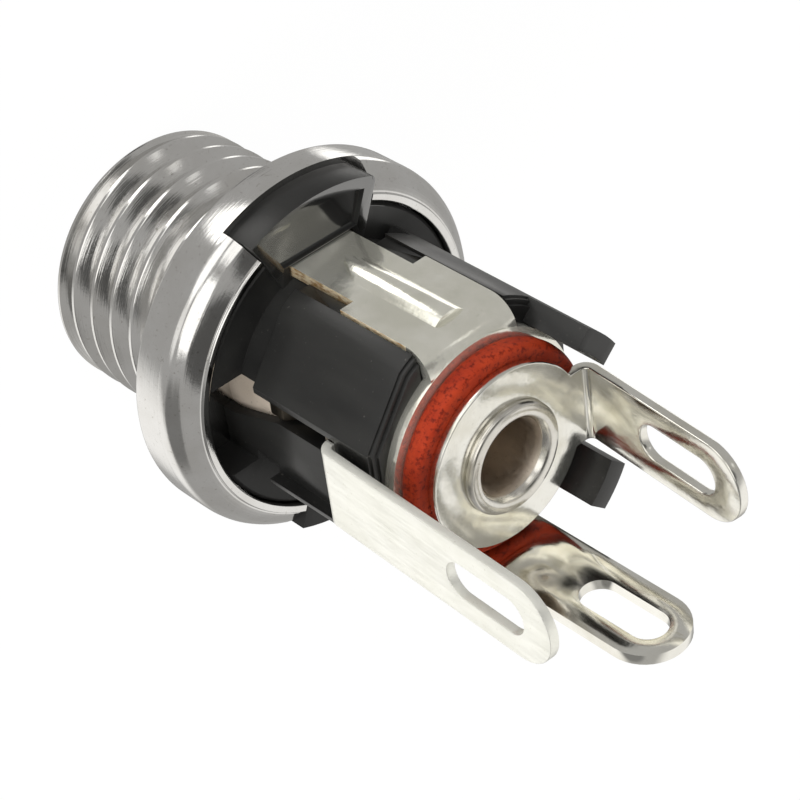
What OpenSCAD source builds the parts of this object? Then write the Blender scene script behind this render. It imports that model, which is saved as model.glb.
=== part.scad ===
// Panel-mount dc barrel jack with three solder lugs.
// +Z runs along the jack's axis to the solder side. The origin is on the axis,
// on the flange face that seats on the panel. The nose points down.

/* [Bushing] */
// Outside diameter of the panel thread
thread_d = 11; // [10:0.1:12]
// Length of the thread in front of the flange
thread_len = 8.2; // [6:0.1:10]
// Chamfer on the nose of the bushing
nose_chamfer = 0.25; // [0.1:0.05:0.8]
// Width of the thread relief next to the flange
relief_w = 0.8; // [0.4:0.1:1.5]
// Depth of the thread relief
relief_depth = 0.5; // [0.2:0.1:0.8]
// How far the seating face is undercut beside the relief
seat_undercut = 0.15; // [0.05:0.05:0.3]
// Bore that the barrel of the plug enters
bore_d = 6.4; // [6:0.1:6.8]
// Outside diameter of the tube behind the flange
spigot_d = 8; // [7.6:0.1:8.4]
// Height of that tube above the panel face
spigot_h = 4.5; // [3.6:0.1:5]

/* [Flange] */
// Outside diameter of the flange
flange_d = 15.5; // [15:0.1:17]
// Height of the straight outer band of the flange
band_h = 1.4; // [1:0.1:1.8]
// Height of the whole flange with its rear rim
flange_h = 2.9; // [2.6:0.1:3.4]
// Outside diameter of the rear rim
rim_d = 13.9; // [13.5:0.1:14.4]
// Diameter of the recess behind the flange
recess_d = 12.8; // [12.2:0.1:13]
// Thickness of the flange under the recess
web_t = 1; // [0.8:0.1:1.3]
// Rounding on the edges of the flange
flange_round = 0.15; // [0.05:0.05:0.25]

/* [Housing] */
// Across the round corner posts of the moulded body
body_d = 11.1; // [10.8:0.05:11.4]
// Distance from the axis to the slanted flat of the block beside the strap
flat_r = 5.2; // [5:0.05:5.4]
// Direction that flat faces, in degrees from the pin lug
flat_angle = 143; // [135:1:150]
// Height of the rear face of the body
body_h = 10.7; // [10:0.1:12]
// Thickness of the wall that carries the centre pin
rear_wall = 2.15; // [1.6:0.05:2.4]
// Gap between the base ring and the body
block_gap = 1.1; // [0.6:0.1:1.4]
// Rounding on the outer edges of the moulding
body_round = 0.3; // [0.1:0.05:0.4]
// Half width of the window below the switch lug
window_low = 2.4; // [2:0.1:2.6]
// How far the two insulating prongs stand behind the body
prong_len = 2.8; // [2:0.1:3.5]
// Width of each prong
prong_w = 1.9; // [1.4:0.1:2.2]
// Angle from the pin lug to each prong
prong_angle = 41; // [36:1:46]

/* [Keys] */
// Half angle of the sectors that stop the housing from turning
key_angle = 24.5; // [15:0.5:28]
// How far the keys stay inside the flange's outside diameter
key_inset = 0.25; // [0.1:0.05:0.5]
// Depth of the pocket in the rear face of the upper key
pocket_depth = 0.25; // [0.1:0.05:0.5]
// Lip left around that pocket
pocket_lip = 0.5; // [0.3:0.05:0.7]

/* [Contacts] */
// Thickness of the sheet of the ground yoke
yoke_t = 0.45; // [0.35:0.05:0.5]
// Thickness of the sheet of the pin terminal and the switch terminal
sheet_t = 0.4; // [0.3:0.05:0.45]
// Inside radius of the bends
bend_r = 0.25; // [0.15:0.05:0.4]
// Width of each solder lug
lug_w = 3.4; // [3:0.1:3.6]
// Width of the wire slot in a lug
slot_w = 1.6; // [1:0.1:1.8]
// Length of the wire slot in a lug
slot_len = 4; // [3:0.1:4.4]
// Sheet left between the slot and the tip of the two signal lugs
tip_margin = 1.35; // [0.7:0.05:1.6]
// Sheet left between the slot and the tip of the ground lug
ground_margin = 0.8; // [0.7:0.05:1.6]
// Height of the lug tips above the panel face
lug_h = 20.6; // [19:0.2:23]
// Outward lean of the switch lug, in degrees
switch_lean = 2.4; // [0:0.2:4]
// Inward lean of the pin lug, in degrees
pin_lean = 5; // [0:0.5:6]
// Diameter of the yoke's end plate
plate_d = 9.2; // [8.9:0.05:9.25]
// Width of the strap at its rear half
strap_w = 4.3; // [4:0.1:4.5]
// Width of the strap at its front half
strap_neck_w = 3; // [2.6:0.1:3.4]
// Height of the strap's shoulders above the panel face
strap_shoulder = 6.4; // [5.8:0.1:7.4]
// Distance of the strap's outer face from the axis
strap_out = 5.15; // [5.05:0.05:5.3]
// Radius of the outside of the bend from the strap to the end plate
strap_bend = 1.2; // [0.8:0.1:1.6]
// Width of the stiffening rib pressed into the strap
rib_w = 1.4; // [1:0.1:1.8]
// Height of that rib
rib_h = 0.3; // [0.15:0.05:0.4]
// Distance from the flange's rim to the point of the rib
rib_start = 1.3; // [1:0.1:2]
// Width of the switch blade
blade_w = 1.3; // [1:0.1:1.5]
// Offset of the switch blade from the middle of its lug
blade_y = 1; // [0.8:0.05:1.1]
// How far the blade bows into the bore
blade_bow = 0.6; // [0.4:0.05:0.8]

/* [Centre contact] */
// Diameter of the centre pin
pin_d = 2; // [1.8:0.05:2.5]
// How far the pin's tip lies behind the nose
pin_setback = 1.5; // [0.8:0.1:3]
// Outside diameter of the pin's tubular shank
shank_d = 3.8; // [3.6:0.05:4]
// Hole in that shank
shank_hole_d = 3; // [2.6:0.05:3.2]
// Thickness of the pin's head in front of the rear wall
head_t = 1; // [0.6:0.1:1.4]
// Outside diameter of the rolled rim
eyelet_d = 4.6; // [4.3:0.05:5]
// Height of the rolled rim
eyelet_h = 0.3; // [0.2:0.05:0.5]
// Diameter of the terminal's ring
ring_d = 7.5; // [7:0.1:8]
// Diameter of the fibre washer
washer_d = 8.7; // [8.4:0.1:9]
// Thickness of the fibre washer
washer_t = 0.9; // [0.6:0.1:1.2]
// Chamfer on the edges of the fibre washer
washer_edge = 0.18; // [0.1:0.02:0.25]

/* [Fits] */
// Clearance between round pieces, on the radius
clr = 0.05; // [0.03:0.01:0.1]
// Clearance beside sheet-metal pieces in the moulding
side_gap = 0.1; // [0.05:0.05:0.15]
// Clearance beside the keys in their notches, in degrees
notch_gap = 0.4; // [0.2:0.1:0.8]

/* [Hidden] */
$fn = 64;
eps = 0.01;

// Heights of the stack behind the housing
plate_z = body_h;
washer_z = plate_z + yoke_t;
ring_z = washer_z + washer_t;
eyelet_z = ring_z + sheet_t;
wall_z = body_h - rear_wall;
tab_z = wall_z - sheet_t;

// Inner faces of the lugs, from the axis
ground_in = washer_d/2 - washer_edge + bend_r;
pin_in = ring_d/2 + bend_r + 2*clr;
lug_sink = 0.35;
switch_in = body_d/2 - lug_sink;

// Housing
strap_in = strap_out - yoke_t;
block_z = flange_h + block_gap;
side_face = switch_in - bend_r;
neck_r = strap_in + 0.15;
prong_in = plate_d/2 + clr;
collar_t = 0.75;
collar_r = shank_d/2 + clr + collar_t;
key_r = flange_d/2 - key_inset;
key_h = flange_h - band_h;
lug_gap = lug_w/2 + side_gap;

// Foot of the strap, and the moulding's floor under it
floor_t = 0.6;
foot_z = web_t + floor_t;

// Switch blade: where it leaves the tab, and its thinned sheet
blade_root = spigot_d/2 + 0.3;
blade_t = sheet_t*2/3;
blade_lap = 0.6;

// Centre pin: its head, and the floor of its hole
pin_head_r = shank_d/2 + 0.7;
hole_floor = wall_z + 0.6;

// ---------------------------------------------------------------- sheet metal

// A flat lug that rises from z = 0, its inner face on y = 0 and its outer face on y = t
module lug_blank(length, t, margin) {
    slot_top = length - margin - slot_w/2;
    slot_low = length - margin - slot_len + slot_w/2;
    rotate([90, 0, 0]) mirror([0, 0, 1]) linear_extrude(t) difference() {
        union() {
            translate([-lug_w/2, 0]) square([lug_w, length - lug_w/2]);
            translate([0, length - lug_w/2]) circle(d = lug_w);
        }
        translate([0, slot_top]) circle(d = slot_w);
        translate([0, slot_low]) circle(d = slot_w);
        translate([-slot_w/2, slot_low]) square([slot_w, slot_top - slot_low]);
    }
}

// The bend from a plate on z = 0 .. t to a lug that leans outwards by lean
module lug_bend(t, lean) {
    translate([-lug_w/2, 0, t + bend_r]) rotate([0, 90, 0])
        rotate_extrude(angle = 90 - lean) translate([bend_r, 0]) square([t, lug_w]);
}

// A lug that leaves a plate and rises behind it
module bent_lug(inner_face, plate_from, height, t, margin, lean) {
    rise = height - t - bend_r;
    translate([0, inner_face - bend_r, 0]) lug_bend(t, lean);
    translate([0, inner_face - bend_r, t + bend_r]) rotate([-lean, 0, 0])
        translate([0, bend_r, 0]) lug_blank(rise/cos(lean), t, margin);
    translate([-lug_w/2, plate_from, 0])
        cube([lug_w, inner_face - bend_r - plate_from, t]);
}

// ---------------------------------------------------------------- bushing

module bushing_profile() {
    nose = -thread_len;
    root_r = thread_d/2 - relief_depth;
    rim_r = rim_d/2;
    polygon([
        [bore_d/2 + nose_chamfer, nose], [thread_d/2 - nose_chamfer, nose],
        [thread_d/2, nose + nose_chamfer], [thread_d/2, -relief_w],
        [root_r, -relief_w + relief_depth/2], [root_r, seat_undercut],
        [thread_d/2 + clr, seat_undercut], [thread_d/2 + clr, 0],
        [flange_d/2 - flange_round, 0], [flange_d/2, flange_round],
        [flange_d/2, band_h], [flange_d/2 - flange_round, band_h + 2*flange_round],
        [rim_r + flange_round/3, flange_h - 2*flange_round],
        [rim_r - flange_round, flange_h - flange_round/2],
        [rim_r - 2*flange_round, flange_h], [recess_d/2, flange_h - flange_round],
        [recess_d/2, web_t], [spigot_d/2, web_t],
        [spigot_d/2, spigot_h - flange_round], [spigot_d/2 - flange_round, spigot_h],
        [bore_d/2, spigot_h], [bore_d/2, nose + nose_chamfer]
    ]);
}

module threaded_bushing() {
    color("#b9b6b0") difference() {
        rotate_extrude($fn = 96) bushing_profile();
        // notches in the rim for the two keys
        for (turn = [0, 180])
            rotate(turn + 90 - key_angle - notch_gap) translate([0, 0, band_h])
                rotate_extrude(angle = 2*(key_angle + notch_gap), $fn = 96)
                    translate([recess_d/2 - web_t, 0]) square([flange_d/2, flange_h]);
    }
}

// ---------------------------------------------------------------- housing

// Outline of the moulded body, smaller by trim on every side
module body_outline(trim = 0) {
    intersection() {
        circle(d = body_d - 2*trim);
        rotate(flat_angle) translate([-body_d, -body_d])
            square([body_d + flat_r - trim, 2*body_d]);
        translate([trim - side_face, -body_d]) square([2*(side_face - trim), 2*body_d]);
    }
}

// The body, with its rear edge stepped in like a small round
module body_block() {
    edge_z = body_h - body_round;
    translate([0, 0, block_z]) linear_extrude(edge_z - block_z) body_outline();
    translate([0, 0, edge_z - eps]) linear_extrude(body_round/2 + eps)
        body_outline(body_round/3);
    translate([0, 0, edge_z + body_round/2 - eps]) linear_extrude(body_round/2 + eps)
        body_outline(body_round);
}

// The two prongs that shield the pin terminal, rising from the base ring
module prongs() {
    low = flange_h - eps;
    top = body_h + prong_len;
    intersection() {
        translate([0, 0, low]) linear_extrude(top - low) difference() {
            circle(d = body_d);
            circle(r = prong_in);
        }
        for (side = [-1, 1]) rotate(side*prong_angle)
            translate([0, -prong_w/2, 0]) cube([body_d, prong_w, top + 1]);
    }
}

// Ring that centres the moulding in the flange's recess
module base_ring() {
    top = flange_h - flange_round;
    rotate_extrude($fn = 96) polygon([
        [spigot_d/2 + clr, web_t], [recess_d/2 - clr, web_t],
        [recess_d/2 - clr, top - flange_round],
        [recess_d/2 - clr - flange_round, top], [spigot_d/2 + clr, top]
    ]);
}

// A key: a sector of a ring that fills a notch in the flange's rim
module key() {
    translate([0, 0, band_h]) rotate(90 - key_angle)
        rotate_extrude(angle = 2*key_angle, $fn = 96)
            translate([strap_in, 0]) square([key_r - strap_in, key_h]);
}

// Shallow pocket in the rear face of the upper key
module key_pocket() {
    translate([0, 0, flange_h - pocket_depth]) intersection() {
        cylinder(r = key_r - pocket_lip, h = 2*pocket_depth, $fn = 96);
        translate([-key_r, strap_out + side_gap, 0]) cube([2*key_r, key_r, 1]);
        rotate(90 - key_angle) translate([0, pocket_lip, 0]) cube([2*key_r, 2*key_r, 1]);
        rotate(90 + key_angle) translate([0, -pocket_lip - 2*key_r, 0])
            cube([2*key_r, 2*key_r, 1]);
    }
}

// Window in the side of the body for the switch lug. A sloping web closes the
// lower half of it next to the bushing's tube.
module switch_window() {
    low = -window_low;
    slope_t = 0.45;
    slope_r = spigot_d/2 + slope_t;
    blade_low = blade_y - blade_w/2 - side_gap;
    bend_z = wall_z - bend_r - 2*sheet_t;
    passage_z = spigot_h - blade_lap - side_gap;
    translate([-body_d, low, web_t - eps])
        cube([body_d - slope_r, lug_gap - low, wall_z - web_t + eps]);
    translate([-body_d, 0, 0]) rotate([90, 0, 90]) linear_extrude(body_d - spigot_d/2 + 1)
        polygon([
            [lug_gap, web_t - eps], [-blade_w/2, web_t - eps], [-blade_w/2, foot_z],
            [blade_low, spigot_h], [blade_low, bend_z],
            [low, bend_z], [low, wall_z], [lug_gap, wall_z]
        ]);
    // passage for the switch blade, from the window to the bore
    translate([-body_d/2, blade_low, passage_z])
        cube([body_d/2, blade_w + 2*side_gap, wall_z - passage_z]);
}

// Channels for the strap and for its turned-in foot
module strap_channel() {
    translate([-strap_w/2 - side_gap, strap_in, strap_shoulder - side_gap])
        cube([strap_w + 2*side_gap, body_d, body_h]);
    translate([-strap_neck_w/2 - side_gap, strap_in, foot_z - side_gap])
        cube([strap_neck_w + 2*side_gap, yoke_t + side_gap/2, body_h]);
    translate([-strap_neck_w/2 - side_gap, strap_in, flange_h])
        cube([strap_neck_w + 2*side_gap, body_d, body_h]);
    translate([-strap_neck_w/2 - side_gap, 0, foot_z - side_gap])
        cube([strap_neck_w + 2*side_gap, strap_out, yoke_t + 2*side_gap]);
    // the corner under the bend
    translate([-strap_w/2 - side_gap, strap_out - strap_bend, body_h])
        rotate([90, 0, 90]) linear_extrude(strap_w + 2*side_gap)
            polygon([[0, 0], [strap_bend - yoke_t, yoke_t - strap_bend],
                     [strap_bend, yoke_t - strap_bend], [strap_bend, eps], [0, eps]]);
}

module housing() {
    color("#2c2c2b") difference() {
        union() {
            base_ring();
            key();
            rotate(180) key();
            // neck between the base ring and the body
            translate([0, 0, flange_h - 2*flange_round])
                cylinder(r = neck_r, h = block_gap + 2*flange_round + eps);
            body_block();
            prongs();
            // collar that centres the yoke's end plate
            translate([0, 0, body_h - eps]) cylinder(r = collar_r, h = yoke_t + eps);
        }
        // room for the bushing's tube, then for the plug, then for the pin's shank
        translate([0, 0, -eps]) cylinder(r = spigot_d/2 + clr, h = spigot_h + clr + eps);
        translate([0, 0, spigot_h]) cylinder(d = bore_d, h = wall_z - spigot_h);
        translate([0, 0, wall_z - eps]) cylinder(r = shank_d/2 + clr, h = body_h);
        strap_channel();
        key_pocket();
        switch_window();
    }
}

// ---------------------------------------------------------------- ground yoke

// Strap along the housing, from its turned-in foot to the end plate
module strap() {
    straight_top = plate_z + yoke_t - strap_bend;
    // foot that bears on the bushing's tube
    translate([-strap_neck_w/2, spigot_d/2, foot_z])
        cube([strap_neck_w, strap_out - spigot_d/2, yoke_t]);
    // narrow front half, then the wide rear half
    translate([-strap_neck_w/2, strap_in, foot_z])
        cube([strap_neck_w, yoke_t, straight_top - foot_z]);
    translate([-strap_w/2, strap_in, strap_shoulder])
        cube([strap_w, yoke_t, straight_top - strap_shoulder]);
    // bend down to the end plate
    translate([-strap_w/2, strap_out - strap_bend, straight_top])
        rotate([90, 0, 90]) rotate_extrude(angle = 90)
            translate([strap_bend - yoke_t, 0]) square([yoke_t, strap_w]);
    translate([-strap_w/2, plate_d/4, plate_z])
        cube([strap_w, strap_out - strap_bend - plate_d/4, yoke_t]);
    rib(flange_h + rib_start, straight_top);
}

// Rounded rib along the strap, pointed at its front end
module rib(low, high) {
    rib_r = (rib_w*rib_w/4 + rib_h*rib_h)/(2*rib_h);
    intersection() {
        translate([0, strap_out + rib_h - rib_r, low]) cylinder(r = rib_r, h = high - low);
        translate([0, strap_out - yoke_t/2, low]) rotate([-90, 0, 0]) linear_extrude(yoke_t + rib_h)
            polygon([[0, 0], [rib_w/2, -rib_w], [rib_w/2, low - high],
                     [-rib_w/2, low - high], [-rib_w/2, -rib_w]]);
    }
}

module ground_yoke() {
    color("#c8c8bc") difference() {
        union() {
            strap();
            translate([0, 0, plate_z]) cylinder(d = plate_d, h = yoke_t);
            rotate(180) translate([0, 0, plate_z])
                bent_lug(ground_in, plate_d/4, lug_h - plate_z, yoke_t, ground_margin, 0);
        }
        translate([0, 0, plate_z - eps]) cylinder(r = collar_r + clr, h = yoke_t + 2*eps);
    }
}

// ---------------------------------------------------------------- insulation

module fibre_washer() {
    color("#b23c22") translate([0, 0, washer_z]) difference() {
        union() {
            cylinder(d1 = washer_d - 2*washer_edge, d2 = washer_d, h = washer_edge);
            translate([0, 0, washer_edge]) cylinder(d = washer_d, h = washer_t - 2*washer_edge);
            translate([0, 0, washer_t - washer_edge])
                cylinder(d1 = washer_d, d2 = washer_d - 2*washer_edge, h = washer_edge);
        }
        translate([0, 0, -eps]) cylinder(r = shank_d/2 + clr, h = washer_t + 2*eps);
    }
}

// ---------------------------------------------------------------- centre contact

module pin_terminal() {
    color("#c9c8bd") translate([0, 0, ring_z]) difference() {
        union() {
            cylinder(d = ring_d, h = sheet_t);
            rotate(-90)
                bent_lug(pin_in, shank_d/2, lug_h - ring_z, sheet_t, tip_margin, -pin_lean);
        }
        translate([0, 0, -eps]) cylinder(r = shank_d/2 + clr, h = sheet_t + 2*eps);
    }
}

// Solid pin with a head, and a tubular shank rolled over the terminal's ring
module centre_pin() {
    tip = pin_setback - thread_len;
    nose = pin_d/5;
    rim_z = eyelet_z + eyelet_h;
    color("#b8b2a6") rotate_extrude() polygon([
        [0, tip], [pin_d/2 - nose, tip], [pin_d/2 - nose/3, tip + nose/3],
        [pin_d/2, tip + nose], [pin_d/2, wall_z - head_t],
        [pin_head_r, wall_z - head_t], [pin_head_r, wall_z],
        [shank_d/2, wall_z], [shank_d/2, eyelet_z],
        [eyelet_d/2, eyelet_z], [eyelet_d/2, eyelet_z + eyelet_h/2],
        [eyelet_d/2 - eyelet_h/2, rim_z], [shank_hole_d/2 + eyelet_h/2, rim_z],
        [shank_hole_d/2, eyelet_z], [shank_hole_d/2, hole_floor], [0, hole_floor]
    ]);
}

// ---------------------------------------------------------------- switch contact

// Leaf spring from the tab to the bushing's tube. It bows into the bore, so a
// plug's barrel pushes it off the tube. Drawn as distance from the axis by height.
module blade_profile() {
    bow = bore_d/2 - blade_bow;
    bow_z = (tab_z + spigot_h)/2;
    bow_low = bow_z - sheet_t/2;
    bow_high = bow_z + sheet_t/2;
    tab_low = tab_z - 2*bend_r;
    rest = spigot_d/2;
    rest_low = spigot_h - blade_lap;
    // the two faces of the blade, a small step apart at the bends
    step = blade_t/2;
    polygon([
        [blade_root, wall_z], [blade_root, tab_low], [bow, bow_high], [bow, bow_low],
        [rest, spigot_h], [rest, rest_low],
        [rest + blade_t, rest_low], [rest + blade_t, spigot_h + step],
        [bow + blade_t, bow_low], [bow + blade_t, bow_high],
        [blade_root + blade_t, tab_low - step], [blade_root + blade_t, wall_z]
    ]);
}

module switch_terminal() {
    color("#dcdccd") rotate(90) {
        translate([0, 0, tab_z])
            bent_lug(switch_in, blade_root, lug_h - tab_z, sheet_t, tip_margin, switch_lean);
        translate([blade_y - blade_w/2, 0, 0]) rotate([90, 0, 90]) linear_extrude(blade_w)
            blade_profile();
    }
}

threaded_bushing();
housing();
ground_yoke();
fibre_washer();
pin_terminal();
centre_pin();
switch_terminal();
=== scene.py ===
"""A panel-mount dc barrel jack: threaded bushing, moulded body, folded sheet
contacts and a rolled centre pin, standing on its nose in a small studio."""

from math import cos, pi, radians, sin

import bmesh
import bpy
from mathutils import Matrix, Vector


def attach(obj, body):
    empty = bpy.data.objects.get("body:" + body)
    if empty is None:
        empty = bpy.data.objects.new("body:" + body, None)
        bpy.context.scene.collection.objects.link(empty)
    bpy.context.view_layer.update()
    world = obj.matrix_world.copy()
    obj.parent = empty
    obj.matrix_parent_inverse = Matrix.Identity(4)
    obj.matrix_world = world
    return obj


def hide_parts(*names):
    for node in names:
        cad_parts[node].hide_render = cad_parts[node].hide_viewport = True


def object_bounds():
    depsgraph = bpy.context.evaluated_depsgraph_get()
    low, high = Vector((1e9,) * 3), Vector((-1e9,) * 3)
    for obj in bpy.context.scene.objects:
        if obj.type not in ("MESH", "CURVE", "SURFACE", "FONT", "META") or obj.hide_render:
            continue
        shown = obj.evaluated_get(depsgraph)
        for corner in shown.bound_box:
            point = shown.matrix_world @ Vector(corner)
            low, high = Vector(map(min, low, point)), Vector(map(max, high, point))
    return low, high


MM = 0.001
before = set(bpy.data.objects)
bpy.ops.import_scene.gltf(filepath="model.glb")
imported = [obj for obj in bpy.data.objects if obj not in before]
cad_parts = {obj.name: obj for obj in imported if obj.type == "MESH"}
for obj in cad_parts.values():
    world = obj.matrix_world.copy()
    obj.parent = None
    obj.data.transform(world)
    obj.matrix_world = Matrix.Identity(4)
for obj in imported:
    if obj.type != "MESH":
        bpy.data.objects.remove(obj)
cad_low, cad_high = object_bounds()


# ---------------------------------------------------------------- materials

def new_material(name):
    """An empty Principled material with its nodes, links and shader."""
    material = bpy.data.materials.new(name)
    material.use_nodes = True
    tree = material.node_tree
    return material, tree, tree.nodes["Principled BSDF"]


def add(tree, kind, inputs=None, **settings):
    """Adds a node, sets its properties and its unlinked inputs."""
    node = tree.nodes.new(kind)
    for key, value in settings.items():
        setattr(node, key, value)
    for key, value in (inputs or {}).items():
        node.inputs[key].default_value = value
    return node


def link(tree, source, target):
    """Links an output socket to an input socket."""
    tree.links.new(source, target)


def millimetres(tree, stretch=(1, 1, 1)):
    """Object coordinates in millimetres, stretched for a directional grain."""
    where = add(tree, "ShaderNodeTexCoord")
    mapping = add(tree, "ShaderNodeMapping")
    mapping.inputs["Scale"].default_value = [value / MM for value in stretch]
    link(tree, where.outputs["Object"], mapping.inputs["Vector"])
    return mapping.outputs["Vector"]


def lathe_place(tree):
    """Coordinates that don't change round the axis: radius and height in mm."""
    place = millimetres(tree)
    flat = add(tree, "ShaderNodeVectorMath", operation="MULTIPLY")
    flat.inputs[1].default_value = (1, 1, 0)
    link(tree, place, flat.inputs[0])
    radius = add(tree, "ShaderNodeVectorMath", operation="LENGTH")
    link(tree, flat.outputs["Vector"], radius.inputs[0])
    split = add(tree, "ShaderNodeSeparateXYZ")
    link(tree, place, split.inputs["Vector"])
    joined = add(tree, "ShaderNodeCombineXYZ")
    link(tree, radius.outputs["Value"], joined.inputs["X"])
    link(tree, split.outputs["Z"], joined.inputs["Z"])
    return joined.outputs["Vector"]


def noise(tree, place, scale, detail=3.0, roughness=0.55):
    """A noise texture's value, scale in cycles per millimetre."""
    texture = add(tree, "ShaderNodeTexNoise",
                  {"Scale": scale, "Detail": detail, "Roughness": roughness})
    link(tree, place, texture.inputs["Vector"])
    return texture.outputs["Fac"]


def ramp(tree, value, stops):
    """A colour ramp: stops are (position, colour)."""
    node = add(tree, "ShaderNodeValToRGB")
    points = node.color_ramp.elements
    while len(points) < len(stops):
        points.new(0.5)
    for point, (position, colour) in zip(points, stops):
        point.position = position
        point.color = (*colour, 1)
    link(tree, value, node.inputs["Fac"])
    return node.outputs["Color"]


def remap(tree, value, low, high, to_low, to_high):
    """A value's range moved to another range, clamped."""
    node = add(tree, "ShaderNodeMapRange",
               {"From Min": low, "From Max": high, "To Min": to_low, "To Max": to_high})
    link(tree, value, node.inputs["Value"])
    return node.outputs["Result"]


def blend(tree, factor, first, second, mode):
    """Mixes two colour sockets by a fixed share."""
    node = add(tree, "ShaderNodeMix", {"Factor": factor}, data_type="RGBA", blend_type=mode)
    link(tree, first, node.inputs["A"])
    link(tree, second, node.inputs["B"])
    return node.outputs["Result"]


def bumps(tree, shader, layers):
    """Chains bump nodes: layers are (height socket, strength, depth in mm)."""
    normal = None
    for height, strength, depth in layers:
        node = add(tree, "ShaderNodeBump", {"Strength": strength, "Distance": depth * MM})
        link(tree, height, node.inputs["Height"])
        if normal is not None:
            link(tree, normal, node.inputs["Normal"])
        normal = node.outputs["Normal"]
    link(tree, normal, shader.inputs["Normal"])


def turned_nickel(name, pale, dull, rough, metallic=1.0):
    """Nickel plate over a turned surface: fine lathe rings, handling marks."""
    material, tree, shader = new_material(name)
    place = millimetres(tree)
    rings = noise(tree, lathe_place(tree), 14, 2)
    clouds = noise(tree, place, 0.45, 4)
    marks = noise(tree, place, 5.5, 6, 0.7)
    colour = ramp(tree, clouds, [(0.3, dull), (0.62, pale)])
    specks = ramp(tree, marks, [(0.28, (0.55, 0.53, 0.48)), (0.4, (1, 1, 1))])
    link(tree, blend(tree, 0.8, colour, specks, "MULTIPLY"), shader.inputs["Base Color"])
    link(tree, remap(tree, marks, 0.3, 0.7, rough * 0.75, rough * 1.35),
         shader.inputs["Roughness"])
    shader.inputs["Metallic"].default_value = metallic
    bumps(tree, shader, [(rings, 0.32, 0.013), (marks, 0.12, 0.02), (clouds, 0.1, 0.08)])
    return material


def plated_sheet(name, pale, dull, rough, stretch, dents=0.25, metallic=1.0, brushed=0.05):
    """Plated brass sheet: rolling grain along stretch, soft stains, dents."""
    material, tree, shader = new_material(name)
    place = millimetres(tree)
    grain = noise(tree, millimetres(tree, stretch), 9, 3)
    clouds = noise(tree, place, 0.55, 4)
    marks = noise(tree, place, 6.5, 5, 0.7)
    colour = ramp(tree, clouds, [(0.32, dull), (0.6, pale)])
    specks = ramp(tree, marks, [(0.27, (0.6, 0.57, 0.5)), (0.37, (1, 1, 1))])
    link(tree, blend(tree, 0.7, colour, specks, "MULTIPLY"), shader.inputs["Base Color"])
    link(tree, remap(tree, grain, 0.3, 0.7, rough * 0.75, rough * 1.3),
         shader.inputs["Roughness"])
    shader.inputs["Metallic"].default_value = metallic
    bumps(tree, shader, [(grain, brushed, 0.006), (clouds, dents, 0.12), (marks, 0.05, 0.008)])
    return material


def raw_brass(name):
    """The bare cut edge of the sheet, where the shear left no plating."""
    material, tree, shader = new_material(name)
    streaks = noise(tree, millimetres(tree, (1, 1, 0.35)), 7, 4)
    link(tree, ramp(tree, streaks, [(0.38, (0.5, 0.3, 0.12)), (0.56, (0.95, 0.82, 0.58))]),
         shader.inputs["Base Color"])
    link(tree, remap(tree, streaks, 0.3, 0.7, 0.35, 0.55), shader.inputs["Roughness"])
    shader.inputs["Metallic"].default_value = 0.5
    bumps(tree, shader, [(streaks, 0.4, 0.03)])
    return material


POLISH_IOR, POLISH_ROUGHNESS = 2.2, 0.1


def black_moulding(name, rough, skin_depth, gloss, polish=0.0):
    """Moulded black plastic: spark-eroded skin, flow marks, dust; duller low down."""
    material, tree, shader = new_material(name)
    place = millimetres(tree)
    skin = noise(tree, place, 16, 3)
    flow = noise(tree, millimetres(tree, (0.6, 0.6, 0.18)), 0.9, 3)
    dust = noise(tree, place, 9, 2, 0.4)
    body = ramp(tree, flow, [(0.3, (0.007, 0.007, 0.007)), (0.7, (0.015, 0.015, 0.014))])
    grey = ramp(tree, dust, [(0.72, (0, 0, 0)), (0.8, (0.05, 0.048, 0.043))])
    link(tree, blend(tree, 1.0, body, grey, "ADD"), shader.inputs["Base Color"])
    split = add(tree, "ShaderNodeSeparateXYZ")
    link(tree, place, split.inputs["Vector"])
    deep = add(tree, "ShaderNodeMath", operation="MULTIPLY")
    link(tree, remap(tree, split.outputs["Z"], 3.4, 5.2, 0.32, 0), deep.inputs[0])
    link(tree, remap(tree, split.outputs["Y"], 4.2, 5.2, 1, 0), deep.inputs[1])
    matt = add(tree, "ShaderNodeMath", operation="ADD")
    link(tree, deep.outputs["Value"], matt.inputs[0])
    link(tree, remap(tree, flow, 0.3, 0.7, rough * 0.8, rough * 1.2), matt.inputs[1])
    link(tree, matt.outputs["Value"], shader.inputs["Roughness"])
    shader.inputs["Specular IOR Level"].default_value = gloss
    shader.inputs["Coat Weight"].default_value = polish
    shader.inputs["Coat IOR"].default_value = POLISH_IOR
    shader.inputs["Coat Roughness"].default_value = POLISH_ROUGHNESS
    bumps(tree, shader, [(skin, 0.12, skin_depth), (flow, 0.15, 0.08)])
    return material


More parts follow.
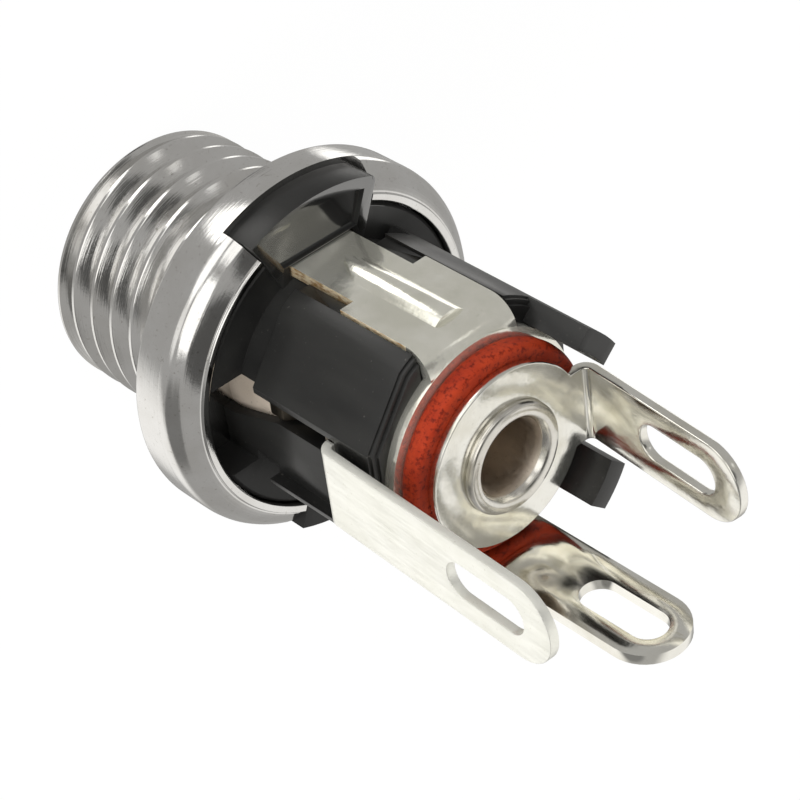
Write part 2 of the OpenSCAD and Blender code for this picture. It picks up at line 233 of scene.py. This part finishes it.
def red_fibre(name):
    """Vulcanised fibre: matt red with dark flecks and pressed layers."""
    material, tree, shader = new_material(name)
    place = millimetres(tree)
    flecks = noise(tree, place, 4.6, 6, 0.8)
    clouds = noise(tree, place, 0.8, 3)
    layers = noise(tree, millimetres(tree, (0.25, 0.25, 4)), 1.6, 3)
    body = ramp(tree, clouds, [(0.3, (0.28, 0.022, 0.006)), (0.7, (0.39, 0.042, 0.012))])
    dark = ramp(tree, flecks, [(0.4, (0.36, 0.24, 0.2)), (0.5, (1, 1, 1))])
    bands = ramp(tree, layers, [(0.35, (0.8, 0.76, 0.76)), (0.6, (1, 1, 1))])
    spotted = blend(tree, 1.0, body, dark, "MULTIPLY")
    link(tree, blend(tree, 0.6, spotted, bands, "MULTIPLY"), shader.inputs["Base Color"])
    link(tree, remap(tree, flecks, 0.3, 0.7, 0.5, 0.75), shader.inputs["Roughness"])
    shader.inputs["Specular IOR Level"].default_value = 0.22
    bumps(tree, shader, [(flecks, 0.35, 0.03), (layers, 0.2, 0.02)])
    return material


# Finishes: pale colour, dull colour, roughness, then what each kind adds
NICKEL = turned_nickel("bushing_nickel_plate", (0.75, 0.745, 0.735), (0.66, 0.65, 0.63), 0.1)
SPIGOT_NICKEL = turned_nickel("spigot_nickel_plate", (0.78, 0.68, 0.57), (0.62, 0.53, 0.43), 0.45,
                              0.35)
PIN_NICKEL = turned_nickel("pin_nickel_plate", (0.74, 0.72, 0.67), (0.6, 0.57, 0.51), 0.2)
# Darker plate colour inside the pin's hole: painted shade in the bore.
PIN_HOLE_PAINTED_SHADE = turned_nickel("pin_hole_plate_painted_shade", (0.72, 0.64, 0.55), (0.55, 0.48, 0.4), 0.45)
YOKE_PLATE = plated_sheet("yoke_plate", (0.87, 0.86, 0.78), (0.76, 0.75, 0.66), 0.15, (1, 1, 0.06),
                          0.3, 0.85, 0.02)
LUG_PLATE = plated_sheet("lug_plate", (0.87, 0.86, 0.81), (0.76, 0.74, 0.67), 0.1,
                         (1, 1, 0.06), 0.05)
TERMINAL_PLATE = plated_sheet("terminal_plate", (0.87, 0.86, 0.81), (0.75, 0.73, 0.65), 0.16,
                              (1, 1, 0.06), 0.18)
SWITCH_PLATE = plated_sheet("switch_plate", (0.95, 0.95, 0.89), (0.91, 0.91, 0.84), 0.4,
                            (1, 1, 0.06), 0.1, 0.8)
# A near-black sheet colour: painted shade on the leaf inside the window.
LEAF_PAINTED_SHADE = plated_sheet("leaf_painted_shade", (0.16, 0.14, 0.11), (0.1, 0.085, 0.065), 0.45,
                         (1, 0.06, 1))
BRASS_EDGE = raw_brass("raw_brass_edge")
PLASTIC = black_moulding("black_moulding", 0.33, 0.02, 0.45)
POLISHED_PLASTIC = black_moulding("polished_moulding", 0.16, 0.006, 0.8, 1.0)
FIBRE = red_fibre("red_fibre")


# ---------------------------------------------------------------- shaping

def finish_piece(bm, name, materials, node, sharp=32):
    """Makes the piece from a bmesh, shades it, and lets it stand for a CAD node."""
    mesh = bpy.data.meshes.new(name)
    bm.to_mesh(mesh)
    bm.free()
    for face in mesh.polygons:
        face.use_smooth = True
    mesh.set_sharp_from_angle(angle=radians(sharp))
    for material in materials:
        mesh.materials.append(material)
    piece = bpy.data.objects.new(name, mesh)
    bpy.context.scene.collection.objects.link(piece)
    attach(piece, "root")
    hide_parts(node)


def profile_loop(bm, points):
    """A loop of edges through (radius, height) points in mm, in the XZ plane."""
    verts = [bm.verts.new((r * MM, 0, z * MM)) for r, z in points]
    edges = [bm.edges.new(pair) for pair in zip(verts, verts[1:] + verts[:1])]
    return verts, edges


def spun(points, steps=160):
    """A closed profile spun once round the axis."""
    bm = bmesh.new()
    verts, edges = profile_loop(bm, points)
    bmesh.ops.spin(bm, geom=verts + edges, cent=(0, 0, 0), axis=(0, 0, 1),
                   angle=2 * pi, steps=steps, use_merge=True)
    bmesh.ops.remove_doubles(bm, verts=bm.verts, dist=1e-7)
    bmesh.ops.recalc_face_normals(bm, faces=bm.faces)
    return bm


def part_spun(points, start, end, steps):
    """A closed profile spun from one angle to another, in degrees, with ends."""
    bm = bmesh.new()
    verts, _ = profile_loop(bm, points)
    face = bm.faces.new(verts)
    bmesh.ops.rotate(bm, cent=(0, 0, 0), matrix=Matrix.Rotation(radians(start), 3, "Z"),
                     verts=bm.verts)
    bmesh.ops.spin(bm, geom=[face], cent=(0, 0, 0), axis=(0, 0, 1),
                   angle=radians(end - start), steps=steps)
    bmesh.ops.recalc_face_normals(bm, faces=bm.faces)
    return bm


def join_into(target, source):
    """Adds one bmesh's geometry to another."""
    mesh = bpy.data.meshes.new("joining")
    source.to_mesh(mesh)
    source.free()
    target.from_mesh(mesh)
    bpy.data.meshes.remove(mesh)


def arc(centre, radius, start, end, steps):
    """Points on an arc in a profile, angles in degrees from outwards."""
    return [(centre[0] + radius * cos(radians(start + (end - start) * i / steps)),
             centre[1] + radius * sin(radians(start + (end - start) * i / steps)))
            for i in range(steps + 1)]


def rounded(bm, edges, width, segments):
    """Rounds edges by a width in mm."""
    bmesh.ops.bevel(bm, geom=edges, offset=width * MM, offset_type="OFFSET", affect="EDGES",
                    segments=segments, profile=0.5, material=-1, clamp_overlap=True)


def merged(node):
    """A copy of a CAD node's mesh with its corners joined."""
    bm = bmesh.new()
    bm.from_mesh(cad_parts[node].data)
    bmesh.ops.remove_doubles(bm, verts=bm.verts, dist=1e-6)
    return bm


def scratch_object(bm, name):
    """A short-lived object for a cut."""
    mesh = bpy.data.meshes.new(name)
    bm.to_mesh(mesh)
    bm.free()
    scratch = bpy.data.objects.new(name, mesh)
    bpy.context.scene.collection.objects.link(scratch)
    return scratch


def carved(bm, cutter):
    """One bmesh less another."""
    body, tool = scratch_object(bm, "carving"), scratch_object(cutter, "cutter")
    cut = body.modifiers.new("cut", "BOOLEAN")
    cut.operation, cut.solver, cut.object = "DIFFERENCE", "EXACT", tool
    result = bmesh.new()
    result.from_object(body, bpy.context.evaluated_depsgraph_get())
    for scratch in (body, tool):
        mesh = scratch.data
        bpy.data.objects.remove(scratch)
        bpy.data.meshes.remove(mesh)
    bmesh.ops.remove_doubles(result, verts=result.verts, dist=1e-6)
    return result


def box(low, high):
    """A box between two corners in mm."""
    bm = bmesh.new()
    low, high = Vector(low) * MM, Vector(high) * MM
    bmesh.ops.create_cube(bm, size=1)
    bmesh.ops.scale(bm, vec=high - low, verts=bm.verts)
    bmesh.ops.translate(bm, vec=(low + high) / 2, verts=bm.verts)
    return bm


def softened(bm, width, segments=2, sharp=35, first=()):
    """Merges the flat facets of a shape from the CAD and rounds its edges.

    first lists (test of an edge, width, segments) for edges rounded before the rest."""
    bmesh.ops.dissolve_limit(bm, angle_limit=radians(0.7), verts=bm.verts, edges=bm.edges,
                             use_dissolve_boundaries=False)
    for test, first_width, first_segments in first:
        rounded(bm, [edge for edge in bm.edges if test(edge)], first_width, first_segments)
    edges = [edge for edge in bm.edges
             if len(edge.link_faces) == 2 and edge.calc_face_angle(0) > radians(sharp)]
    rounded(bm, edges, width, segments)
    bmesh.ops.triangulate(bm, faces=[face for face in bm.faces if len(face.verts) > 4])
    bmesh.ops.recalc_face_normals(bm, faces=bm.faces)
    return bm


# ---------------------------------------------------------------- bushing

# Radii and heights in mm; the panel's face is at height 0
BORE_R, SPIGOT_R, SPIGOT_TOP = 3.2, 4.0, 4.5
CREST_R, ROOT_R, RELIEF_R = 5.49, 4.77, 4.76
NOSE, THREAD_LOW, THREAD_HIGH = -8.2, -7.95, -1.05
PITCH, THREAD_PHASE = 1.25, 0.34
FLANGE_R, BAND_TOP, RIM_TOP, RECESS_R, WEB = 7.75, 1.4, 2.9, 6.4, 1.0
NOTCH_HALF = 24.9                                # half angle of a notch, in degrees
CORE_STEPS, RIM_STEPS, THREAD_STEPS = 192, 72, 96


def bushing_core():
    """The turned body without its thread and without the rim above the band."""
    return spun([
        (BORE_R + 0.25, NOSE), (CREST_R - 0.3, NOSE),
        *arc((CREST_R - 0.22, NOSE + 0.22), 0.22, -80, -10, 4),
        (CREST_R, THREAD_LOW + 0.02), (ROOT_R, THREAD_LOW + 0.4),
        (RELIEF_R, THREAD_HIGH), (RELIEF_R, 0), (FLANGE_R - 0.18, 0),
        *arc((FLANGE_R - 0.15, 0.15), 0.15, -80, 0, 4),
        (FLANGE_R, BAND_TOP), (RECESS_R - 0.4, BAND_TOP), (RECESS_R - 0.4, WEB),
        (SPIGOT_R, WEB), (SPIGOT_R, SPIGOT_TOP - 0.12),
        *arc((SPIGOT_R - 0.12, SPIGOT_TOP - 0.12), 0.12, 15, 90, 3),
        (BORE_R + 0.08, SPIGOT_TOP), (BORE_R, SPIGOT_TOP - 0.08), (BORE_R, NOSE + 0.25),
    ], CORE_STEPS)


def rim_section():
    """Section of the flange's rear rim: a rolled shoulder and a thin inner lip."""
    return [(RECESS_R, BAND_TOP - 0.5), (FLANGE_R - 0.08, BAND_TOP - 0.5),
            (FLANGE_R - 0.001, BAND_TOP), (7.745, 1.62), (7.72, 1.8), (7.67, 1.93),
            (7.62, 2.01), (7.6, 2.037), (7.44, 2.252), (7.42, 2.279), (7.37, 2.33),
            (7.345, 2.352), (6.835, 2.779), (6.81, 2.79), (6.77, 2.8),
            (6.75, 2.83), (6.735, 2.875), (6.71, RIM_TOP), (6.68, RIM_TOP),
            (6.49, RIM_TOP), (6.46, RIM_TOP - 0.005), (6.42, RIM_TOP - 0.04),
            (RECESS_R, RIM_TOP - 0.14)]


def thread_ridge():
    """The right-hand thread: one ridge swept up the nose, cut off at both ends."""
    bm = bmesh.new()
    crest, root = PITCH / 16, PITCH * 7 / 16
    verts, edges = profile_loop(bm, [
        (ROOT_R - 0.2, -root), (ROOT_R, -root), (CREST_R - 0.025, -crest - 0.02),
        (CREST_R, -crest + 0.01), (CREST_R, crest - 0.01), (CREST_R - 0.025, crest + 0.02),
        (ROOT_R, root), (ROOT_R - 0.2, root)])
    start = THREAD_LOW - PITCH + THREAD_PHASE
    turns = (THREAD_HIGH + PITCH - start) / PITCH
    bmesh.ops.translate(bm, vec=(0, 0, start * MM), verts=verts)
    steps = round(turns * THREAD_STEPS)
    bmesh.ops.spin(bm, geom=verts + edges, cent=(0, 0, 0), axis=(0, 0, 1),
                   angle=2 * pi * turns, steps=steps,
                   dvec=(0, 0, (THREAD_HIGH + PITCH - start) * MM / steps))
    for height, away in ((THREAD_LOW + 0.02, -1), (THREAD_HIGH, 1)):
        cut = bmesh.ops.bisect_plane(bm, geom=bm.verts[:] + bm.edges[:] + bm.faces[:],
                                     plane_co=(0, 0, height * MM), plane_no=(0, 0, away),
                                     clear_outer=True)
        rim = [part for part in cut["geom_cut"] if isinstance(part, bmesh.types.BMEdge)]
        bmesh.ops.edgenet_fill(bm, edges=rim)
    bmesh.ops.recalc_face_normals(bm, faces=bm.faces)
    return bm


def make_bushing():
    """Bushing with its thread and its notched rim; the spigot has a duller plate."""
    bm = bushing_core()
    section = rim_section()
    join_into(bm, part_spun(section, 90 + NOTCH_HALF, 270 - NOTCH_HALF, RIM_STEPS))
    join_into(bm, part_spun(section, 270 + NOTCH_HALF, 450 - NOTCH_HALF, RIM_STEPS))
    join_into(bm, thread_ridge())
    for face in bm.faces:
        middle = face.calc_center_median()
        if middle.xy.length < (SPIGOT_R + 0.3) * MM and middle.z > 0:
            face.material_index = 1
    finish_piece(bm, "bushing_turned", [NICKEL, SPIGOT_NICKEL], "threaded_bushing")


# ---------------------------------------------------------------- other pieces

# In mm, as all sizes here
EASED, MOULDED = 0.06, 0.07                      # edge radii of the sheets and the moulding
LEDGE_LOW, LEDGE_HIGH = (-2.25, 4.9, 3.9), (2.25, 6.5, 6.31)
KEY_CORNER_R = 0.45
POCKET_TOP, POCKET_INSIDE = 2.95, 5.2            # the pocket's floor lies below and beyond
STRAP_INSIDE, STRAP_TOP = 4.3, 9.0               # the strap's bare sides lie beyond and below
LUG_SIDE, TAB_SIDE = -2.0, -4.85                 # where the ground lug and the switch tab begin


def key_corner(edge):
    """Whether an edge is the upper key's outer corner on the +X side."""
    low, high = sorted((vert.co / MM for vert in edge.verts), key=lambda place: place.z)
    return (high.z - low.z > 0.5 and abs(high.x - low.x) < 0.05 and high.y > 6
            and 2.5 < high.x < 3.6 and high.xy.length > 7.3)


def make_housing():
    """Moulded body: the ledges beside the strap's neck cut away, edges rounded."""
    bm = carved(merged("housing"), box(LEDGE_LOW, LEDGE_HIGH))
    bm = softened(bm, MOULDED, 3, first=[(key_corner, KEY_CORNER_R, 5)])
    for face in bm.faces:
        middle = face.calc_center_median() / MM
        if face.normal.z > 0.9 and middle.z < POCKET_TOP and middle.y > POCKET_INSIDE:
            face.material_index = 1
    finish_piece(bm, "housing_moulding", [PLASTIC, POLISHED_PLASTIC], "housing")


def make_yoke():
    """Folded ground yoke; the cut sides of its strap are bare brass."""
    bm = softened(merged("ground_yoke"), EASED, 3)
    for face in bm.faces:
        middle = face.calc_center_median() / MM
        if abs(face.normal.x) > 0.9 and middle.y > STRAP_INSIDE and middle.z < STRAP_TOP:
            face.material_index = 1
        elif middle.y < LUG_SIDE:
            face.material_index = 2
    finish_piece(bm, "ground_yoke_folded", [YOKE_PLATE, BRASS_EDGE, LUG_PLATE],
                 "ground_yoke")


def make_terminals():
    """The two signal lugs, their edges eased; inside the window the leaf is painted near black as
    shade.
    """
    finish_piece(softened(merged("pin_terminal"), EASED, 3), "pin_terminal_pressed",
                 [TERMINAL_PLATE], "pin_terminal")
    bm = softened(merged("switch_terminal"), EASED, 3)
    for face in bm.faces:
        # Faces inside the window take the near-black painted-shade colour.
        if face.calc_center_median().x > TAB_SIDE * MM:
            face.material_index = 1
    finish_piece(bm, "switch_terminal_pressed", [SWITCH_PLATE, LEAF_PAINTED_SHADE], "switch_terminal")


def make_washer():
    """Fibre washer with crowned edges."""
    low, high, outer, inner = 11.15, 12.05, 4.35, 1.95
    bm = spun([(inner, low), *arc((outer - 0.3, low + 0.28), 0.28, -90, -14, 5),
               (outer, (low + high) / 2), *arc((outer - 0.3, high - 0.28), 0.28, 14, 90, 5),
               (inner, high)], 128)
    finish_piece(bm, "fibre_washer_punched", [FIBRE], "fibre_washer", 40)


def make_pin():
    """Centre pin; its shank is rolled outwards over the ring like an eyelet."""
    shank, hole, ring_top, tip = 1.9, 1.5, 12.45, -6.7
    head_low, head_high, head = 7.55, 8.55, 2.6
    roll = [(2.24, ring_top - 0.03), (2.3, ring_top + 0.05),
            *arc((2.1, ring_top + 0.12), 0.2, 0, 75, 6), (1.98, ring_top + 0.34),
            (1.84, ring_top + 0.33), (1.72, ring_top + 0.25), (1.6, ring_top + 0.05)]
    bm = spun([
        (0.0001, tip), *arc((0.62, tip + 0.38), 0.38, -88, -2, 6),
        (1.0, head_low), (head - 0.06, head_low), (head, head_low + 0.06),
        (head, head_high - 0.06), (head - 0.06, head_high), (shank, head_high),
        (shank, ring_top), *roll, (hole - 0.06, ring_top - 0.3), (hole, ring_top - 0.9),
        (hole, head_high + 0.7), (0.0001, head_high + 0.6)], 96)
    # The inside of the hole takes the darker painted-shade plate.
    for face in bm.faces:
        middle = face.calc_center_median()
        if middle.xy.length < (hole + 0.05) * MM and middle.z > head_high * MM:
            face.material_index = 1
    finish_piece(bm, "centre_pin_rolled", [PIN_NICKEL, PIN_HOLE_PAINTED_SHADE], "centre_pin")


make_bushing()
make_housing()
make_yoke()
make_terminals()
make_washer()
make_pin()


# ---------------------------------------------------------------- studio

# The camera's axes, place and lens, in the part's frame
VIEW_RIGHT = Vector((0.730747, -0.114647, 0.672952)).normalized()
VIEW_FORWARD = Vector((0.480098, -0.614497, -0.626018))
VIEW_FORWARD = (VIEW_FORWARD - VIEW_RIGHT * VIEW_FORWARD.dot(VIEW_RIGHT)).normalized()
VIEW_UP = VIEW_RIGHT.cross(VIEW_FORWARD)
VIEW_FROM = Vector((-47.715, 60.646, 68.583)) * MM
LENS = 117                                       # focal length in mm
ROOM_LIGHT = 0.42                                # even light of the room

# Softboxes and dark corners of the studio, as seen by the camera:
# direction (right, up, back), inner and outer half angle, and light added
SOFT_PATCHES = [
    ((-0.22, -0.22, 0.95), 17, 22, 1.2),
    ((0.14, 0.33, 0.93), 9, 14, 1.0),
    ((0.6, 0.05, 0.8), 12, 17, -0.32),
    ((0.29, -0.54, 0.79), 16, 21, -0.32),
    ((-0.54, 0.83, 0.11), 10, 13, 2.2),
    ((-0.54, 0.5, 0.66), 18, 27, 1.1),
    ((-0.82, -0.05, 0.56), 10, 20, 0.6),
    ((-0.34, 0.79, -0.51), 5, 8, -0.4),
    ((-0.5, -0.83, 0.2), 18, 30, -0.2),
    ((0.84, -0.49, -0.22), 22, 50, 0.55),
    ((-0.68, -0.48, -0.56), 12, 35, 0.7),
    ((0.7, 0.49, 0.54), 3, 6, 0.5),
    ((0.18, 0.68, -0.71), 8, 12, 1.3),
]


def from_view(right, up, back):
    """A direction given as seen by the camera, in the part's frame."""
    vector = VIEW_RIGHT * right + VIEW_UP * up - VIEW_FORWARD * back
    return vector.normalized()


def make_camera():
    """A long lens over the solder lugs."""
    data = bpy.data.cameras.new("camera")
    data.lens = LENS
    data.clip_start, data.clip_end = 0.005, 20
    camera = bpy.data.objects.new("camera", data)
    bpy.context.scene.collection.objects.link(camera)
    columns = Matrix((VIEW_RIGHT, VIEW_UP, -VIEW_FORWARD)).transposed()
    camera.matrix_world = Matrix.Translation(VIEW_FROM) @ columns.to_4x4()
    bpy.context.scene.camera = camera


def make_world():
    """Pale surroundings: white to the camera, softly shaded in reflections."""
    world = bpy.data.worlds.new("studio")
    world.use_nodes = True
    bpy.context.scene.world = world
    tree = world.node_tree
    tree.nodes.clear()
    direction = add(tree, "ShaderNodeTexCoord").outputs["Generated"]
    total = None
    for aim, inner, outer, strength in SOFT_PATCHES:
        dot = add(tree, "ShaderNodeVectorMath", operation="DOT_PRODUCT")
        dot.inputs[1].default_value = from_view(*aim)
        link(tree, direction, dot.inputs[0])
        patch = add(tree, "ShaderNodeMapRange", interpolation_type="SMOOTHSTEP")
        patch.inputs["From Min"].default_value = cos(radians(outer))
        patch.inputs["From Max"].default_value = cos(radians(inner))
        patch.inputs["To Max"].default_value = strength
        link(tree, dot.outputs["Value"], patch.inputs["Value"])
        added = add(tree, "ShaderNodeMath", operation="ADD")
        added.inputs[1].default_value = ROOM_LIGHT
        if total is not None:
            link(tree, total, added.inputs[1])
        link(tree, patch.outputs["Result"], added.inputs[0])
        total = added.outputs["Value"]
    studio = add(tree, "ShaderNodeBackground", {"Color": (1, 0.985, 0.955, 1)})
    link(tree, total, studio.inputs["Strength"])
    white = add(tree, "ShaderNodeBackground", {"Color": (1, 1, 1, 1), "Strength": 1.0})
    path = add(tree, "ShaderNodeLightPath")
    mix = add(tree, "ShaderNodeMixShader")
    link(tree, path.outputs["Is Camera Ray"], mix.inputs["Fac"])
    link(tree, studio.outputs["Background"], mix.inputs[1])
    link(tree, white.outputs["Background"], mix.inputs[2])
    link(tree, mix.outputs["Shader"],
         add(tree, "ShaderNodeOutputWorld").inputs["Surface"])


def softbox(name, aim, distance, size, power):
    """A disk lamp that looks at the part from a direction seen by the camera."""
    data = bpy.data.lights.new(name, "AREA")
    data.shape = "DISK"
    data.size, data.energy = size, power
    lamp = bpy.data.objects.new(name, data)
    bpy.context.scene.collection.objects.link(lamp)
    middle = Vector((0, 0, 6 * MM))
    direction = from_view(*aim)
    lamp.location = middle + direction * distance
    lamp.rotation_mode = "QUATERNION"
    lamp.rotation_quaternion = direction.to_track_quat("Z", "Y")
    lamp.visible_camera = False
    lamp.visible_glossy = False


def make_floor():
    """Plain pale table under the nose."""
    bm = bmesh.new()
    bmesh.ops.create_circle(bm, cap_ends=True, segments=96, radius=3)
    bmesh.ops.translate(bm, vec=(0, 0, cad_low.z), verts=bm.verts)
    mesh = bpy.data.meshes.new("table")
    bm.to_mesh(mesh)
    bm.free()
    material, tree, shader = new_material("pale_table")
    shader.inputs["Base Color"].default_value = (0.82, 0.82, 0.81, 1)
    shader.inputs["Roughness"].default_value = 0.9
    glow = add(tree, "ShaderNodeEmission", {"Strength": 1.02})
    path = add(tree, "ShaderNodeLightPath")
    share = add(tree, "ShaderNodeMath", operation="MULTIPLY")
    share.inputs[1].default_value = 0.95
    link(tree, path.outputs["Is Camera Ray"], share.inputs[0])
    mix = add(tree, "ShaderNodeMixShader")
    link(tree, share.outputs["Value"], mix.inputs["Fac"])
    link(tree, shader.outputs["BSDF"], mix.inputs[1])
    link(tree, glow.outputs["Emission"], mix.inputs[2])
    link(tree, mix.outputs["Shader"], tree.nodes["Material Output"].inputs["Surface"])
    mesh.materials.append(material)
    table = bpy.data.objects.new("table", mesh)
    bpy.context.scene.collection.objects.link(table)
    table.visible_glossy = False


make_camera()
make_world()
softbox("key_softbox", (-0.3, 0.55, 0.8), 0.45, 0.3, 1.6)
softbox("side_softbox", (-0.9, 0.2, 0.3), 0.45, 0.25, 0.5)
softbox("low_softbox", (-0.2, -0.7, 0.7), 0.45, 0.2, 1.0)
make_floor()

scene = bpy.context.scene
scene.view_settings.view_transform = "Standard"
